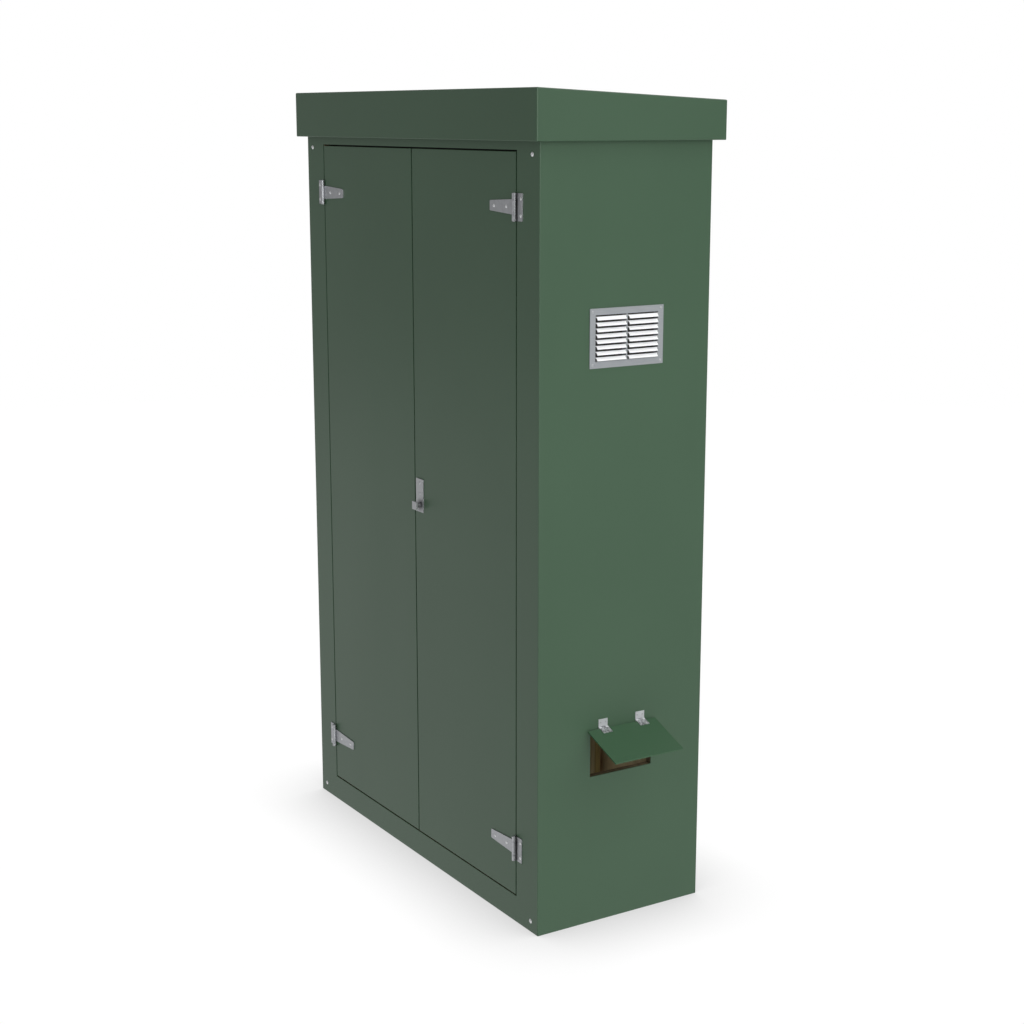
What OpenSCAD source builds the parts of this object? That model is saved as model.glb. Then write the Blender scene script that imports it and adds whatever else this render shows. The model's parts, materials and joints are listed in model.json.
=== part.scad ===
// Roadside utility cabinet: a timber-framed kiosk faced in glass-reinforced plastic, with two
// tee-hinged doors, an overhanging roof cap, a louvre vent and a top-hung cable flap.
// Millimetres. +Z is up, +X runs to the right along the doors, and the doors face -Y.
// The origin is the middle of the base.

/* [Body] */
// Width over the side walls
body_w = 1290; // [1100:10:1600]
// Depth over the front and back faces
body_d = 530; // [420:10:700]
// Height from the ground to the lower edge of the roof cap
body_h = 2080; // [1700:10:2500]
// Thickness of the outer plastic skins
skin_t = 3; // [2:0.5:5]
// Thickness of the plywood wall, door and roof boards
board_t = 18; // [12:1:24]

/* [Roof cap] */
// How far the cap stands out from the walls all round
cap_overhang = 25; // [15:1:40]
// Height of the cap at its front edge
cap_h = 125; // [90:5:180]
// How much lower the cap is at the rear than at the front
cap_fall = 25; // [5:5:50]
// Wall thickness of the cap moulding
cap_t = 4; // [3:0.5:6]
// Radius of the cap's upright corners
cap_corner_r = 6; // [3:1:12]

/* [Door opening] */
// Width of the frame on each side of the door opening
jamb_w = 105; // [95:1:130]
// Visible height of the frame above the doors
head_h = 25; // [20:1:60]
// Height of the frame below the doors
sill_h = 75; // [60:1:120]
// Open gap round each door leaf
door_gap = 4; // [3:0.5:6]
// How far the timber stop reaches in behind the leaves
stop_reach = 12; // [10:1:16]
// Thickness of the rubber door seal with the doors shut
seal_t = 3.7; // [3:0.1:5]
// Width of the seal on the meeting edge of the left door
meeting_seal_w = 2.4; // [1.5:0.1:2.6]

/* [Timber frame] */
// Depth of the front posts, head and sill, from front to back
front_timber_d = 44; // [38:1:60]
// Side of the square rear posts and top rails
rear_timber = 45; // [38:1:60]

/* [Base] */
// Width of the flat steel base frame
base_w = 80; // [72:1:110]
// Thickness of the base frame
base_t = 6; // [5:1:10]
// Distance of the anchor holes in from the outside of the side walls
anchor_inset = 53; // [48:1:60]
// Spacing of the anchor holes from front to back
anchor_pitch = 300; // [200:10:320]
// Diameter of the anchor holes
anchor_dia = 14; // [10:1:18]

/* [Equipment board] */
// Thickness of the battens behind the equipment board
batten_t = 25; // [20:1:40]
// Width of the battens
batten_w = 50; // [40:1:60]
// Gap between the equipment board and the left rear post
board_side_gap = 19; // [10:1:40]
// Clear cable space between the board and the right wall
board_cable_space = 392; // [250:1:450]
// Height of the board's lower edge
board_low_z = 150; // [100:10:300]
// Height of the board's upper edge
board_high_z = 1900; // [1200:10:1950]

/* [Tee hinges] */
// Height of the hinge centres in from the leaf's top and bottom edges
hinge_inset = 135.5; // [90:0.5:300]
// Length of the strap from the pin to its tip
strap_len = 124; // [100:1:200]
// Height of the strap beside the knuckle
strap_root_h = 39; // [30:1:42]
// Height of the strap at its tip
strap_tip_h = 26; // [18:1:36]
// Thickness of the hinge plates
hinge_t = 2.5; // [2:0.1:4]
// Height of the plate fixed to the frame
jamb_plate_h = 69; // [60:1:100]
// Width of the plate fixed to the frame, from the pin
jamb_plate_w = 35; // [28:1:45]
// Radius of the hinge knuckle
knuckle_r = 6; // [5:0.5:7]
// Radius of the hinge pin
pin_r = 3; // [2:0.1:3.4]

/* [Lock] */
// Width of the lock plate
lock_w = 43; // [36:1:60]
// Height of the lock plate
lock_h = 95; // [80:1:140]
// Thickness of the lock plate
lock_t = 3; // [2:0.5:5]
// Distance of the lock's centre line from the middle of the doors
lock_x = 32; // [28:1:60]
// Height of the lock plate's centre
lock_z = 1093; // [900:1:1200]
// Distance of the knob's axis below the plate's centre
knob_drop = 27; // [15:1:35]
// Side of the square knob head
knob_size = 23; // [18:1:30]
// Thickness of the knob head
knob_t = 6; // [4:1:10]
// How far the knob's face stands out from the door
knob_stand = 22; // [16:1:30]
// Radius of the knob's neck
neck_r = 7.5; // [7:0.5:9]
// Length of the latch cam from its axis
cam_len = 46; // [40:1:60]

/* [Shoot bolts] */
// Radius of the bolt rods
bolt_r = 5; // [4:0.5:6]
// Length of the bolt rods
bolt_len = 220; // [160:10:300]
// Travel of the bolts
bolt_travel = 25; // [15:1:30]
// Distance of the bolts from the middle of the doors
bolt_x = 45; // [40:1:80]

/* [Vent] */
// Width of the vent's face
vent_w = 229; // [150:1:300]
// Height of the vent's face
vent_h = 152; // [100:1:200]
// Height of the vent's centre
vent_z = 1587; // [1000:1:1700]
// Width of the vent's flat border
vent_border = 17; // [14:1:20]
// Thickness of the vent's border
vent_t = 2.5; // [1.5:0.5:4]
// Number of blades in each of the two columns
blade_count = 8; // [5:1:10]
// Thickness of a blade
blade_t = 1.5; // [1:0.1:2]

/* [Cable flap] */
// Width of the flap
flap_w = 222; // [180:1:280]
// Length of the flap from the pin to its free edge
flap_len = 145; // [130:1:190]
// Thickness of the flap
flap_t = 4; // [3:0.5:6]
// Height of the flap's hinge pin
flap_pin_z = 549; // [400:1:800]
// How far the flap stands open, measured from shut
flap_open = 69; // [0:1:120]
// Width of the hole in the wall
hatch_w = 200; // [150:1:210]
// Height of the hole in the wall
hatch_h = 125; // [100:1:126]
// Distance of the small hinges from the middle of the flap
small_hinge_y = 60; // [40:1:80]
// Width of a small hinge
small_hinge_w = 29; // [24:1:40]
// Length of each small hinge leaf from its pin
small_leaf_len = 24; // [20:1:30]
// Thickness of a small hinge leaf
small_leaf_t = 1.5; // [1:0.1:2]

/* [Hidden] */
$fn = 48;

// Clearances
run_gap = 0.08;     // radius, pin or rod in its bore
part_gap = 0.5;     // between pieces that move past one another
knuckle_gap = 0.6;  // knuckle to the edge of the plate beside it
screw_gap = 0.05;   // radius, screw shank in its pilot hole
overshoot = 1;      // how far a cutter passes the face it opens

// Walls
half_w = body_w / 2;
half_d = body_d / 2;
wall_t = skin_t + board_t;
inner_x = half_w - wall_t;
inner_y = half_d - wall_t;
board_x = half_w - skin_t;
board_y = half_d - skin_t;
skin_lift = 1;      // the skins stop this far above the ground, so the base carries the load

// Roof
cap_w = body_w + 2 * cap_overhang;
cap_d = body_d + 2 * cap_overhang;
function roof_z(y, drop) = body_h + cap_h - drop - cap_fall * (y + cap_d / 2) / cap_d;
wall_drop = cap_t + board_t;    // the walls stop under the roof board
lip_gap = 0.5;                  // cap lip to wall

// Fasteners: head radius, head height, shank radius, length
corner_screw = [6.5, 3, 2.5, 58];
hinge_screw = [4.6, 2, 2, 17];
small_screw = [2.6, 1.1, 1.1, 14];
flap_rivet = [2.6, 1.1, 1.1, small_leaf_t + flap_t];
vent_screw = [3.8, 1.6, 1.6, 17];
board_screw = [5, 3.2, 2.2, 50];
flush_depth = 0.3;              // a countersunk head's top below the face
corner_screw_x = half_w - 34;
corner_screw_zs = [31, body_h - 34];

// Door opening
open_x = half_w - jamb_w;
open_low = sill_h;
open_high = body_h - head_h;
stop_x = open_x - stop_reach;
stop_low = open_low + stop_reach;
stop_high = open_high - stop_reach;
seal_front = -inner_y + 0.3;    // just clear of the leaves' backs
seal_back = seal_front + seal_t;
timber_back = -inner_y + front_timber_d;

// Door leaves
leaf_out = open_x - door_gap;
leaf_in = door_gap / 2;
leaf_low = open_low + door_gap;
leaf_high = open_high - door_gap;

// Tee hinges
pin_x = open_x - door_gap / 2;
pin_y = -half_d - knuckle_r - part_gap;
hinge_zs = [leaf_low + hinge_inset, leaf_high - hinge_inset];
strap_knuckle_h = strap_root_h - 2;
strap_tip_cut = 2;              // corner cut off the strap's tip
knuckle_reach = knuckle_r + knuckle_gap;
pin_head = 1;                   // height of a pin's head, and its reach all round
strap_screw_u = [44, 103];      // along the strap from the pin
jamb_screw_u = 24;              // across the plate from the pin
jamb_screw_v = 21;              // up and down from the hinge centre

// Lock
knob_z = lock_z - knob_drop;
lock_screw_z = [lock_z + 5, lock_z + 36];
spindle_r = 6;
cam_seat_r = 4;
bush_r = 8;
bush_flange_r = 12;
bush_flange_t = 1;
cam_w = 20;
cam_t = 3;
cam_front = -inner_y + 3;
nut_t = 5;
nut_r = 7;
thread_end = 1;                 // thread showing past the nut
neck_gap = 0.4;                 // knob's neck to the lock plate
keep_t = 2;
latch_keep_x = [6, 34];         // in from the left leaf's edge
latch_keep_h = 44;

// Shoot bolts
bolt_y = -inner_y + 12;
bolt_rest_gap = 4;              // rod end to keep plate
bolt_hole_r = bolt_r + 1;
bolt_hole_depth = bolt_travel + 10;
guide_w = 24;
guide_d = 20;
guide_h = 14;
guide_plate_t = 2;
guide_plate_h = 150;
guide_inset = 25;               // rod end to the plate's near edge
guide_screw_v = 22;             // up and down from the plate's middle
keep_w = 44;
keep_d = 30;
handle_r = 4;
handle_len = 16;
handle_ball_r = 6;

// Vent
vent_in_w = vent_w - 2 * vent_border;
vent_in_h = vent_h - 2 * vent_border;
collar_t = 1.5;
collar_d = 16;
vent_hole_gap = 1;
mullion_w = 4;
blade_pitch = vent_in_h / blade_count;
blade_run = 7;                  // depth of a blade, front to back
blade_drop = 9;                 // how far its front edge hangs lower
blade_proud = 5.5;              // its front edge stands this far out from the vent's frame
blade_front = vent_t + blade_proud;
blade_end_gap = 2.6;            // open gap at each end of a blade
blade_tab = 1.4;                // depth of the full-width strip along its back
mesh_t = 0.8;
vent_screw_in = vent_border / 2;

// Cable flap, drawn hanging shut and then swung open about its pin
flap_gap = 0.5;
small_knuckle_r = 3;
small_pin_r = 1.2;
small_knuckle_stand = 0.4;      // knuckle to the wall
flap_pin_x = half_w + small_knuckle_r + small_knuckle_stand;
flap_top = small_knuckle_r + knuckle_gap;
flap_in = half_w + flap_gap - flap_pin_x;
flap_out = flap_in + flap_t;
hatch_drop = 8;                 // the hole's top below the pin
hatch_top = flap_pin_z - hatch_drop;
small_screw_y = 8;
small_screw_u = 15;
small_tab_w = 12;

// Equipment board
batten_front = inner_y - batten_t;
equip_front = batten_front - board_t;
equip_left = -inner_x + rear_timber + board_side_gap;
equip_right = inner_x - board_cable_space;
board_screw_x_in = 45;          // outer screws from the board's sides
board_screw_z_in = 90;          // outer screws from its top and bottom
batten_short = 20;              // battens stop short of the board's ends
equip_xs = [equip_left + board_screw_x_in, equip_right - board_screw_x_in];
equip_zs = [board_low_z + board_screw_z_in, (board_low_z + board_high_z) / 2,
            board_high_z - board_screw_z_in];

green = "#4a5c48";
timber = "#7a5534";
ply = "#8a6440";
zinc = "#9a9ca0";
pale_metal = "#c8c9cc";
rubber = "#1c1d1c";

// ---- shared shapes ----

// A box given by its two corners
module box(low, high) {
    translate(low) cube(high - low);
}

// Everything under the roof's sloping top, lowered by drop
module under_roof(drop) {
    front = -cap_d / 2;
    rear = cap_d / 2;
    translate([-cap_w / 2, 0, 0]) rotate([90, 0, 90]) linear_extrude(cap_w)
        polygon([[front, -overshoot], [rear, -overshoot],
                 [rear, roof_z(rear, drop)], [front, roof_z(front, drop)]]);
}

// A wall or post: a box from low z up to the underside of the roof board
module wall(x0, x1, y0, y1, z0) {
    intersection() {
        box([x0, y0, z0], [x1, y1, body_h + cap_h]);
        under_roof(wall_drop);
    }
}

// The door opening as a cutter between two depths
module door_opening(y0, y1) {
    box([-open_x, y0, open_low], [open_x, y1, open_high]);
}

// The cross recess as a cutter, sunk from z = 0 into a head of the given size
module cross_recess(head_r, head_h) {
    depth = head_h * 0.55;
    for (a = [0, 90]) rotate(a) translate([0, 0, (overshoot - depth) / 2])
        cube([head_r * 1.1, head_r * 0.25, depth + overshoot], center = true);
}

// A domed screw along -Z, the head's underside at z = 0
module screw(size) {
    head_r = size[0];
    head_h = size[1];
    dome_r = (head_r * head_r + head_h * head_h) / (2 * head_h);
    difference() {
        intersection() {
            translate([0, 0, head_h - dome_r]) sphere(dome_r);
            cylinder(r = head_r, h = head_h);
        }
        translate([0, 0, head_h]) cross_recess(head_r, head_h);
    }
    translate([0, 0, -size[3]]) cylinder(r = size[2], h = size[3]);
}

// Pilot hole for a screw, along -Z from its seat
module pilot(size) {
    translate([0, 0, -size[3] - screw_gap])
        cylinder(r = size[2] + screw_gap, h = size[3] + overshoot);
}

// The cone of a countersunk head, its flat top just under z = 0
module sunk_head(size) {
    translate([0, 0, -flush_depth - size[1]]) cylinder(r1 = size[2], r2 = size[0], h = size[1]);
}

// A countersunk screw along -Z from the face it is sunk in
module sunk_screw(size) {
    difference() {
        sunk_head(size);
        translate([0, 0, -flush_depth]) cross_recess(size[0], size[1]);
    }
    translate([0, 0, -size[3]]) cylinder(r = size[2], h = size[3] - flush_depth - size[1]);
}

// The countersunk hole for one
module sunk_pilot(size) {
    sunk_head(size);
    translate([0, 0, -flush_depth]) cylinder(r = size[0], h = flush_depth + overshoot);
    pilot(size);
}

// Turns +Z of a child to face the front, the back or the right
module facing_front() { rotate([90, 0, 0]) children(); }
module facing_back() { rotate([-90, 0, 0]) children(); }
module facing_right() { rotate([0, 90, 0]) children(); }

// ---- places ----

module at_front_corners() {
    for (s = [-1, 1], z = corner_screw_zs)
        translate([s * corner_screw_x, -half_d, z]) facing_front() children();
}

module at_back_corners() {
    for (s = [-1, 1], z = corner_screw_zs)
        translate([s * corner_screw_x, half_d, z]) facing_back() children();
}

module at_tee_hinges(sides = [-1, 1]) {
    for (s = sides, z = hinge_zs) translate([s * pin_x, pin_y, z])
        mirror([s < 0 ? 1 : 0, 0, 0]) children();
}

module at_strap_screws(sides) {
    at_tee_hinges(sides) for (u = strap_screw_u)
        translate([-u, -half_d - hinge_t - pin_y, 0]) facing_front() children();
}

module at_jamb_screws() {
    at_tee_hinges() for (v = [-1, 1])
        translate([jamb_screw_u, -half_d - hinge_t - pin_y, v * jamb_screw_v]) facing_front() children();
}

module at_lock_screws() {
    for (z = lock_screw_z) translate([lock_x, -half_d - lock_t, z]) facing_front() children();
}

module at_knob() {
    translate([lock_x, -half_d, knob_z]) children();
}

module at_guide_screws() {
    mid_z = -guide_inset - guide_plate_h / 2;
    for (m = [0, 1], v = [-1, 1]) bolt_end(m)
        translate([-bolt_x, -inner_y + guide_plate_t, mid_z + v * guide_screw_v])
            facing_back() children();
}

// The frame of a bolt: z = 0 at the rod's resting end, the rod running down from it.
// m = 0 is the top bolt and m = 1 the bottom bolt, turned over.
module bolt_end(m) {
    z = m == 0 ? stop_high - keep_t - bolt_rest_gap : stop_low + keep_t + bolt_rest_gap;
    translate([0, 0, z]) mirror([0, 0, m]) children();
}

module at_vent_screws() {
    y = vent_w / 2 - vent_screw_in;
    z = vent_h / 2 - vent_screw_in;
    for (a = [-1, 1], b = [-1, 1])
        translate([half_w + vent_t, a * y, vent_z + b * z]) facing_right() children();
}

module at_board_screws() {
    for (x = equip_xs, z = equip_zs) translate([x, equip_front, z]) facing_front() children();
}

// The flap's pin, with children drawn hanging from it
module at_flap_pin(angle = flap_open) {
    translate([flap_pin_x, 0, flap_pin_z]) rotate([0, -angle, 0]) children();
}

module at_small_hinges() {
    for (s = [-1, 1]) translate([0, s * small_hinge_y, 0]) children();
}

module at_flap_wall_screws() {
    x = half_w + small_leaf_t - flap_pin_x;
    at_flap_pin(0) at_small_hinges() for (s = [-1, 1])
        translate([x, s * small_screw_y, small_screw_u]) facing_right() children();
}

module at_flap_screws() {
    x = flap_out + small_leaf_t;
    at_flap_pin() at_small_hinges() for (s = [-1, 1])
        translate([x, s * small_screw_y, -small_screw_u]) facing_right() children();
}

// ---- base and walls ----

module base_frame() {
    hole_x = board_x - base_w;
    hole_y = board_y - base_w;
    color(zinc) difference() {
        box([-board_x, -board_y, 0], [board_x, board_y, base_t]);
        box([-hole_x, -hole_y, -overshoot], [hole_x, hole_y, base_t + overshoot]);
        for (s = [-1, 1], t = [-1, 1])
            translate([s * (half_w - anchor_inset), t * anchor_pitch / 2, -overshoot])
                cylinder(d = anchor_dia, h = base_t + 2 * overshoot);
    }
}

module side_skin(s) {
    x = [s * board_x, s * half_w];
    wall(min(x), max(x), -board_y, board_y, skin_lift);
}

module left_side_skin() {
    color(green) side_skin(-1);
}

// The holes in the right wall for the vent's collar and under the flap
module right_wall_holes() {
    y = vent_in_w / 2 + collar_t + vent_hole_gap;
    z = vent_in_h / 2 + collar_t + vent_hole_gap;
    x0 = inner_x - overshoot;
    x1 = half_w + overshoot;
    box([x0, -y, vent_z - z], [x1, y, vent_z + z]);
    box([x0, -hatch_w / 2, hatch_top - hatch_h], [x1, hatch_w / 2, hatch_top]);
    at_vent_screws() pilot(vent_screw);
    at_flap_wall_screws() pilot(small_screw);
}

module right_side_skin() {
    color(green) difference() {
        side_skin(1);
        right_wall_holes();
    }
}

module back_skin() {
    color(green) difference() {
        wall(-half_w, half_w, board_y, half_d, skin_lift);
        at_back_corners() pilot(corner_screw);
    }
}

// Pilot holes of the front frame: corner screws and hinge plates
module front_pilots() {
    at_front_corners() pilot(corner_screw);
    at_jamb_screws() pilot(hinge_screw);
}

module front_frame_skin() {
    color(green) difference() {
        wall(-half_w, half_w, -half_d, -board_y, skin_lift);
        door_opening(-half_d - overshoot, -board_y + overshoot);
        front_pilots();
    }
}

module side_board(s) {
    x = [s * inner_x, s * board_x];
    wall(min(x), max(x), -inner_y, inner_y, base_t);
}

module left_side_board() {
    color(ply) side_board(-1);
}

module right_side_board() {
    color(ply) difference() {
        side_board(1);
        right_wall_holes();
    }
}

module back_wall_board() {
    color(ply) difference() {
        wall(-board_x, board_x, inner_y, board_y, base_t);
        at_back_corners() pilot(corner_screw);
        at_board_screws() pilot(board_screw);
    }
}

module front_frame_board() {
    color(ply) difference() {
        wall(-board_x, board_x, -board_y, -inner_y, base_t);
        door_opening(-board_y - overshoot, -inner_y + overshoot);
        front_pilots();
    }
}

// ---- timber frame ----

// The recess in the front timbers that holds the door seal
module seal_recess() {
    door_opening(-inner_y - overshoot, seal_back);
}

module front_post(s) {
    x = [s * stop_x, s * inner_x];
    difference() {
        wall(min(x), max(x), -inner_y, timber_back, base_t);
        seal_recess();
        front_pilots();
    }
}

module left_front_post() {
    color(timber) front_post(-1);
}

module right_front_post() {
    color(timber) front_post(1);
}

// Holes for the ends of the bolt rods
module bolt_sockets() {
    for (m = [0, 1]) bolt_end(m) translate([-bolt_x, bolt_y, bolt_rest_gap])
        cylinder(r = bolt_hole_r, h = bolt_hole_depth);
}

module door_head() {
    color(timber) difference() {
        wall(-stop_x, stop_x, -inner_y, timber_back, stop_high);
        seal_recess();
        bolt_sockets();
    }
}

module door_sill() {
    color(timber) difference() {
        box([-stop_x, -inner_y, base_t], [stop_x, timber_back, stop_low]);
        seal_recess();
        bolt_sockets();
    }
}

module rear_post(s) {
    x = [s * (inner_x - rear_timber), s * inner_x];
    difference() {
        wall(min(x), max(x), inner_y - rear_timber, inner_y, base_t);
        at_back_corners() pilot(corner_screw);
    }
}

module left_rear_post() {
    color(timber) rear_post(-1);
}

module right_rear_post() {
    color(timber) rear_post(1);
}

// Keeps only what lies within one timber's thickness of the roof board
module under_roof_strip() {
    difference() {
        children();
        under_roof(wall_drop + rear_timber);
    }
}

module side_top_rails() {
    color(timber) for (s = [-1, 1]) {
        x = [s * (inner_x - rear_timber), s * inner_x];
        under_roof_strip()
            wall(min(x), max(x), timber_back, inner_y - rear_timber, body_h - cap_fall);
    }
}

module rear_top_rail() {
    x = inner_x - rear_timber;
    color(timber) under_roof_strip() wall(-x, x, inner_y - rear_timber, inner_y, body_h - cap_fall);
}

// ---- roof ----

module roof_board() {
    color(ply) difference() {
        intersection() {
            box([-half_w, -half_d, body_h], [half_w, half_d, body_h + cap_h]);
            under_roof(cap_t);
        }
        under_roof(wall_drop);
    }
}

// A rounded rectangle, as boxes and corner discs
module round_rect(w, d, r) {
    square([w - 2 * r, d], center = true);
    square([w, d - 2 * r], center = true);
    for (a = [-1, 1], b = [-1, 1])
        translate([a * (w / 2 - r), b * (d / 2 - r)]) circle(r);
}

module roof_cap() {
    in_w = cap_w - 2 * cap_t;
    in_d = cap_d - 2 * cap_t;
    hole_x = half_w + lip_gap;
    hole_y = half_d + lip_gap;
    color(green) difference() {
        intersection() {
            translate([0, 0, body_h]) linear_extrude(cap_h) round_rect(cap_w, cap_d, cap_corner_r);
            under_roof(0);
        }
        intersection() {
            box([-in_w / 2, -in_d / 2, body_h + cap_t], [in_w / 2, in_d / 2, body_h + cap_h]);
            under_roof(cap_t);
        }
        box([-hole_x, -hole_y, body_h - overshoot], [hole_x, hole_y, body_h + cap_t + overshoot]);
    }
}

// ---- equipment board ----

module equipment_board() {
    color(ply) difference() {
        box([equip_left, equip_front, board_low_z], [equip_right, batten_front, board_high_z]);
        at_board_screws() sunk_pilot(board_screw);
    }
}

module board_battens() {
    low = board_low_z + batten_short;
    high = board_high_z - batten_short;
    color(timber) difference() {
        for (x = equip_xs)
            box([x - batten_w / 2, batten_front, low], [x + batten_w / 2, inner_y, high]);
        at_board_screws() pilot(board_screw);
    }
}

module board_screws() {
    color(zinc) at_board_screws() sunk_screw(board_screw);
}

// ---- frame fittings ----

module door_seal() {
    color(rubber) difference() {
        box([-open_x, seal_front, open_low], [open_x, seal_back, open_high]);
        box([-stop_x, -inner_y - overshoot, stop_low], [stop_x, seal_back + overshoot, stop_high]);
    }
}

module front_corner_screws() {
    color(pale_metal) at_front_corners() screw(corner_screw);
}

module back_corner_screws() {
    color(pale_metal) at_back_corners() screw(corner_screw);
}

module bolt_keeps() {
    near = seal_back + part_gap - bolt_y;
    color(zinc) for (m = [0, 1])
        bolt_end(m) translate([-bolt_x, bolt_y, bolt_rest_gap]) difference() {
            box([-keep_w / 2, near, 0], [keep_w / 2, near + keep_d, keep_t]);
            translate([0, 0, -overshoot]) cylinder(r = bolt_hole_r, h = keep_t + 2 * overshoot);
        }
}

// ---- vent ----

module vent_frame() {
    collar_w = vent_in_w + 2 * collar_t;
    collar_h = vent_in_h + 2 * collar_t;
    color(pale_metal) translate([half_w, 0, vent_z]) difference() {
        union() {
            box([0, -vent_w / 2, -vent_h / 2], [vent_t, vent_w / 2, vent_h / 2]);
            box([-collar_d, -collar_w / 2, -collar_h / 2], [0, collar_w / 2, collar_h / 2]);
        }
        for (s = [-1, 1]) translate([0, s * (vent_in_w + mullion_w) / 4, 0])
            cube([3 * collar_d, (vent_in_w - mullion_w) / 2, vent_in_h], center = true);
        translate([-half_w, 0, -vent_z]) at_vent_screws() pilot(vent_screw);
    }
}

// A blade's slope between two depths behind its front edge, over the width w
module blade_slope(near, far, w) {
    rise = blade_drop / blade_run;
    low = -(blade_drop + blade_t) / 2;
    translate([0, w / 2, 0]) rotate([90, 0, 0]) linear_extrude(w)
        polygon([for (p = [[near, 0], [near, blade_t], [far, blade_t], [far, 0]])
                 [blade_front - p[0], low + p[0] * rise + p[1]]]);
}

// One sloping blade: open at both ends, but for the strip along its back
module blade() {
    w = (vent_in_w - mullion_w) / 2;
    blade_slope(0, blade_run, w - 2 * blade_end_gap);
    blade_slope(blade_run - blade_tab, blade_run, w);
}

module vent_blades() {
    low = vent_z - (blade_count - 1) / 2 * blade_pitch;
    color("white") for (s = [-1, 1], i = [0 : blade_count - 1])
        translate([half_w, s * (vent_in_w + mullion_w) / 4, low + i * blade_pitch]) blade();
}

module insect_mesh() {
    mesh_w = vent_in_w + 2 * collar_t;
    mesh_h = vent_in_h + 2 * collar_t;
    color("#55585a") translate([half_w - collar_d - mesh_t, -mesh_w / 2, vent_z - mesh_h / 2])
        cube([mesh_t, mesh_w, mesh_h]);
}

module vent_screws() {
    color(pale_metal) at_vent_screws() screw(vent_screw);
}

// ---- tee hinges, drawn for the right-hand side with the pin on the Z axis ----

module jamb_plate() {
    near = -half_d - pin_y;     // distance of the frame's face from the pin
    end_h = (jamb_plate_h - strap_knuckle_h) / 2 - part_gap;
    difference() {
        box([knuckle_reach, near - hinge_t, -jamb_plate_h / 2], [jamb_plate_w, near, jamb_plate_h / 2]);
        for (v = [-1, 1]) translate([jamb_screw_u, near - hinge_t, v * jamb_screw_v])
            facing_front() pilot(hinge_screw);
    }
    for (v = [-1, 1]) translate([0, 0, v * (jamb_plate_h - end_h) / 2]) difference() {
        union() {
            cylinder(r = knuckle_r, h = end_h, center = true);
            translate([0, near - hinge_t, -end_h / 2]) cube([knuckle_reach, hinge_t, end_h]);
        }
        cylinder(r = pin_r, h = end_h + 2 * overshoot, center = true);
    }
}

module strap() {
    near = -half_d - pin_y;
    root = strap_root_h / 2;
    tip = strap_tip_h / 2;
    cut = strap_tip_cut;
    difference() {
        union() {
            translate([0, near, 0]) rotate([90, 0, 0]) linear_extrude(hinge_t) polygon([
                [-knuckle_reach, -root], [-knuckle_reach, root], [-strap_len + cut, tip],
                [-strap_len, tip - cut], [-strap_len, cut - tip], [-strap_len + cut, -tip]]);
            cylinder(r = knuckle_r, h = strap_knuckle_h, center = true);
            translate([-knuckle_reach, near - hinge_t, -strap_knuckle_h / 2])
                cube([knuckle_reach, hinge_t, strap_knuckle_h]);
        }
        cylinder(r = pin_r + run_gap, h = strap_root_h, center = true);
        for (u = strap_screw_u) translate([-u, near - hinge_t, 0]) facing_front() pilot(hinge_screw);
    }
}

module hinge_jamb_plates() {
    color(zinc) at_tee_hinges() jamb_plate();
}

module hinge_pins() {
    color(zinc) at_tee_hinges() {
        cylinder(r = pin_r, h = jamb_plate_h, center = true);
        for (v = [0, 1]) mirror([0, 0, v]) translate([0, 0, jamb_plate_h / 2])
            cylinder(r = pin_r + pin_head, h = pin_head);
    }
}

module jamb_screws() {
    color(pale_metal) at_jamb_screws() screw(hinge_screw);
}

// ---- doors ----

module leaf(s, y0, y1) {
    x = [s * leaf_in, s * leaf_out];
    box([min(x), y0, leaf_low], [max(x), y1, leaf_high]);
}

module left_door_skin() {
    color(green) difference() {
        leaf(-1, -half_d, -board_y);
        at_strap_screws([-1]) pilot(hinge_screw);
    }
}

module left_door_board() {
    color(ply) difference() {
        leaf(-1, -board_y, -inner_y);
        at_strap_screws([-1]) pilot(hinge_screw);
        at_guide_screws() pilot(small_screw);
    }
}

module left_door_straps() {
    color(zinc) at_tee_hinges([-1]) strap();
}

module left_strap_screws() {
    color(pale_metal) at_strap_screws([-1]) screw(hinge_screw);
}

module meeting_seal() {
    color(rubber)
        box([-leaf_in, -board_y + 1, leaf_low], [-leaf_in + meeting_seal_w, -inner_y, leaf_high]);
}

// A back plate with two guide blocks bored for the rod
module bolt_guides() {
    low = -guide_inset - guide_plate_h;
    color(zinc) difference() {
        for (m = [0, 1]) bolt_end(m) translate([-bolt_x, -inner_y, 0]) difference() {
            union() {
                box([-guide_w / 2, 0, low], [guide_w / 2, guide_plate_t, -guide_inset]);
                for (z = [-guide_inset - guide_h, low])
                    box([-guide_w / 2, 0, z], [guide_w / 2, guide_d, z + guide_h]);
            }
            translate([0, bolt_y + inner_y, -bolt_len])
                cylinder(r = bolt_r + run_gap, h = bolt_len);
        }
        at_guide_screws() pilot(small_screw);
    }
}

module guide_screws() {
    color(pale_metal) at_guide_screws() screw(small_screw);
}

module latch_keep() {
    half_h = latch_keep_h / 2;
    color(zinc) box([-leaf_in - latch_keep_x[1], -inner_y, knob_z - half_h],
                    [-leaf_in - latch_keep_x[0], -inner_y + keep_t, knob_z + half_h]);
}

module right_door_skin() {
    color(green) difference() {
        leaf(1, -half_d, -board_y);
        at_strap_screws([1]) pilot(hinge_screw);
        at_lock_screws() pilot(hinge_screw);
        at_knob() facing_back() cylinder(r = bush_r, h = skin_t * 4, center = true);
    }
}

module right_door_board() {
    color(ply) difference() {
        leaf(1, -board_y, -inner_y);
        at_strap_screws([1]) pilot(hinge_screw);
        at_lock_screws() pilot(hinge_screw);
        at_knob() facing_back() cylinder(r = bush_r, h = wall_t + overshoot);
    }
}

module right_door_straps() {
    color(zinc) at_tee_hinges([1]) strap();
}

module right_strap_screws() {
    color(pale_metal) at_strap_screws([1]) screw(hinge_screw);
}

// ---- lock ----

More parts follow.
